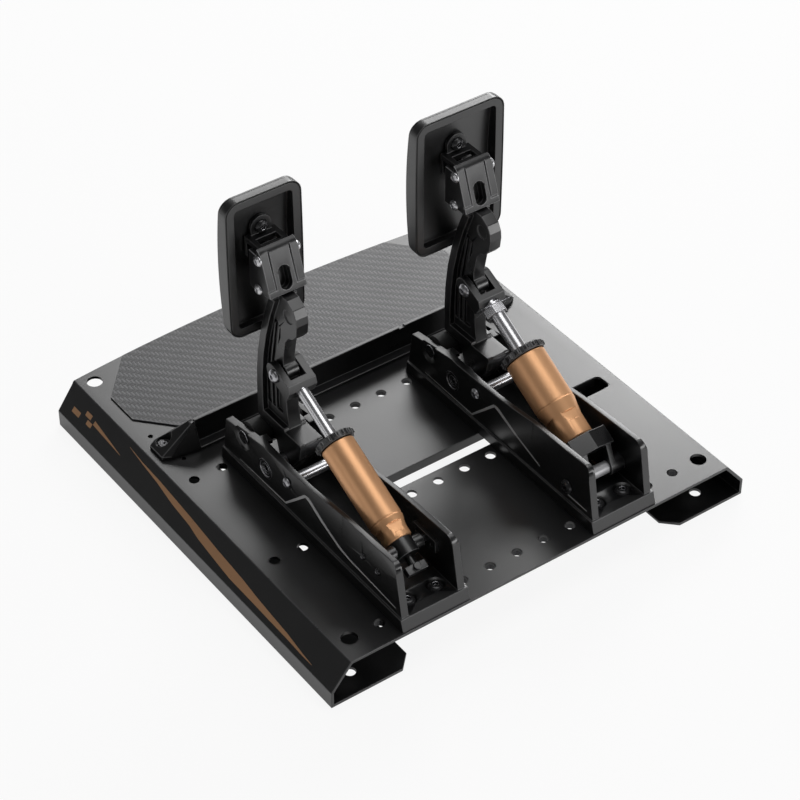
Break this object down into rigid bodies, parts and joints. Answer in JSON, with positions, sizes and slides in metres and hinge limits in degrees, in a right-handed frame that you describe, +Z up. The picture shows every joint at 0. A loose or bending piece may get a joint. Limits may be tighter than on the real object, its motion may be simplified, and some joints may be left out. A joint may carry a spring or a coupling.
{
  "type": "sim racing pedal set",
  "caption": "Throttle and brake pedals with hollow-backed pads, hooked arms and inclined bronze dampers in channel brackets on a raised steel base plate with a heel stop and mat.",
  "frame": {"origin": "on the floor under the middle of the base", "axes": "+X to the driver's right, +Y away from the driver, +Z up"},
  "size_m": [0.3104, 0.3146, 0.2305],
  "materials": {
    "coated_steel": "satin black powder coat",
    "carbon_mat": "woven carbon look, satin",
    "black_alloy": "black anodised, satin",
    "grey_alloy": "dark grey, bright worn edges",
    "pad_plastic": "fine satin",
    "bronze_alloy": "satin bronze anodised",
    "polished_steel": "polished",
    "black_steel": "black oxide",
    "plain_steel": "satin",
    "rubber": "matt",
    "elastomer": "matt",
    "circuit_board": "solder mask, satin"
  },
  "bodies": {
    "base": {"base_plate": "coated_steel", "heel_mat": "carbon_mat", "heel_stop": "black_alloy", "heel_stop_screws": "black_steel", "throttle_bracket": "coated_steel", "throttle_floor_bolts": "black_steel", "throttle_floor_nuts": "plain_steel", "throttle_pivot_bearings": "plain_steel", "throttle_rest_pin": "polished_steel", "throttle_rest_roller": "rubber", "throttle_stop_rod": "polished_steel", "throttle_stop_rod_bolts": "black_steel", "throttle_lower_pin": "polished_steel", "brake_bracket": "coated_steel", "brake_floor_bolts": "black_steel", "brake_floor_nuts": "plain_steel", "brake_pivot_bearings": "plain_steel", "brake_rest_pin": "polished_steel", "brake_rest_roller": "rubber", "brake_stop_rod": "polished_steel", "brake_stop_rod_bolts": "black_steel", "brake_lower_pin": "polished_steel", "throttle_sensor_board": "circuit_board", "throttle_pin_plate": "black_steel", "throttle_sensor_screws": "black_steel"},
    "throttle_pedal": {"throttle_arm": "black_alloy", "throttle_pivot_pin": "black_steel", "throttle_pivot_spacers": "plain_steel", "throttle_pad_clamp": "grey_alloy", "throttle_clamp_screws": "polished_steel", "throttle_tilt_plate": "coated_steel", "throttle_pad_bolts": "black_steel", "throttle_pad_frame": "pad_plastic", "throttle_pad_face": "pad_plastic"},
    "throttle_damper": {"throttle_damper_body": "bronze_alloy", "throttle_spring": "plain_steel", "throttle_collar": "black_alloy", "throttle_rod_end": "black_alloy", "throttle_sensor_magnet": "plain_steel"},
    "throttle_rod": {"throttle_push_rod": "polished_steel", "throttle_fork": "black_alloy", "throttle_fork_bolt": "plain_steel"},
    "throttle_ring": {"throttle_adjuster_ring": "black_alloy"},
    "brake_pedal": {"brake_arm": "black_alloy", "brake_pivot_pin": "black_steel", "brake_pivot_spacers": "plain_steel", "brake_pad_clamp": "grey_alloy", "brake_clamp_screws": "polished_steel", "brake_tilt_plate": "coated_steel", "brake_pad_bolts": "black_steel", "brake_pad_frame": "pad_plastic", "brake_pad_face": "pad_plastic"},
    "brake_damper": {"brake_damper_body": "bronze_alloy", "brake_elastomers": "elastomer", "brake_load_cell": "black_alloy"},
    "brake_rod": {"brake_push_rod": "polished_steel", "brake_fork": "black_alloy", "brake_fork_bolt": "plain_steel", "brake_lock_nut": "polished_steel"},
    "brake_ring": {"brake_adjuster_ring": "black_alloy"}
  },
  "joints": [
    {"name": "throttle_press", "type": "hinge", "parent": "base", "child": "throttle_pedal", "pos_m": [0.08, 0.0129, 0.051], "axis": [-1, 0, 0], "range_deg": [0, 20], "stiffness_Nm_per_rad": 8, "springref_deg": -20.05},
    {"name": "throttle_damper_swing", "type": "hinge", "parent": "base", "child": "throttle_damper", "pos_m": [0.08, 0.1228, 0.0571], "axis": [-1, 0, 0], "range_deg": [0, 4.16]},
    {"name": "throttle_rod_slide", "type": "slide", "parent": "throttle_damper", "child": "throttle_rod", "axis": [0, 0.8949, -0.4463], "range_m": [0, 0.0204], "deforming": ["throttle_spring"]},
    {"name": "throttle_ring_turn", "type": "hinge", "parent": "throttle_damper", "child": "throttle_ring", "pos_m": [0.08, 0.1228, 0.0571], "axis": [0, -0.8949, 0.4463], "continuous": true},
    {"name": "brake_press", "type": "hinge", "parent": "base", "child": "brake_pedal", "pos_m": [-0.06, 0.0129, 0.051], "axis": [-1, 0, 0], "range_deg": [0, 8], "stiffness_Nm_per_rad": 250, "springref_deg": -0.86},
    {"name": "brake_damper_swing", "type": "hinge", "parent": "base", "child": "brake_damper", "pos_m": [-0.06, 0.1283, 0.0474], "axis": [-1, 0, 0], "range_deg": [0, 1.93]},
    {"name": "brake_rod_slide", "type": "slide", "parent": "brake_damper", "child": "brake_rod", "axis": [0, 0.8737, -0.4864], "range_m": [0, 0.0077], "deforming": ["brake_elastomers"]},
    {"name": "brake_ring_turn", "type": "hinge", "parent": "brake_damper", "child": "brake_ring", "pos_m": [-0.06, 0.1283, 0.0474], "axis": [0, -0.8737, 0.4864], "continuous": true}
  ],
  "couplings": [
    {"joint": "throttle_damper_swing", "follows": "throttle_press", "ratio": 0.20691},
    {"joint": "throttle_rod_slide", "follows": "throttle_press", "m_per_rad": 0.058185},
    {"joint": "brake_damper_swing", "follows": "brake_press", "ratio": 0.2387},
    {"joint": "brake_rod_slide", "follows": "brake_press", "m_per_rad": 0.054718}
  ]
}
